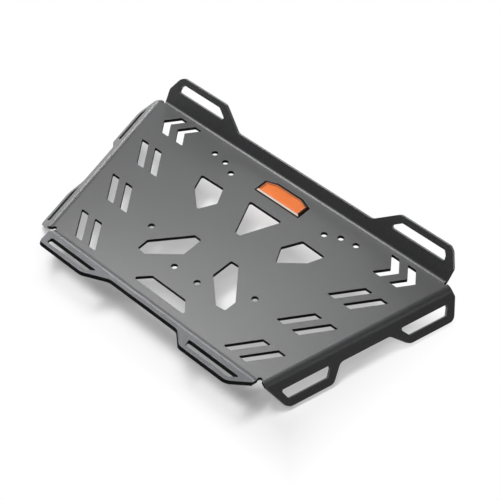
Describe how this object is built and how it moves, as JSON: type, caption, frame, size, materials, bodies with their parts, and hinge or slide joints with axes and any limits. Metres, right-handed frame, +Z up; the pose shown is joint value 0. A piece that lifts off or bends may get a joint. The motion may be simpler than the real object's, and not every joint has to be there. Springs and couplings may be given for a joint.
{
  "type": "carrier plate",
  "caption": "Folded sheet-metal carrier plate for a motorbike's rear rack, with slotted strap loops on its bent rails, cut windows, bolt holes and a plain plastic inlay.",
  "frame": {"origin": "centre of the plate's bounding box in plan, on the lowest edge of the turned-down side rails", "axes": "+X to the right along the widest extent, +Y to the rear edge with the high rail, +Z up, square to the flat sheet"},
  "size_m": [0.4488, 0.2712, 0.0545],
  "materials": {
    "sheet": "powder coated satin black, fine grained",
    "inlay": "moulded, orange"
  },
  "bodies": {
    "root": {"carrier_plate": "sheet", "inlay": "inlay"}
  },
  "joints": []
}
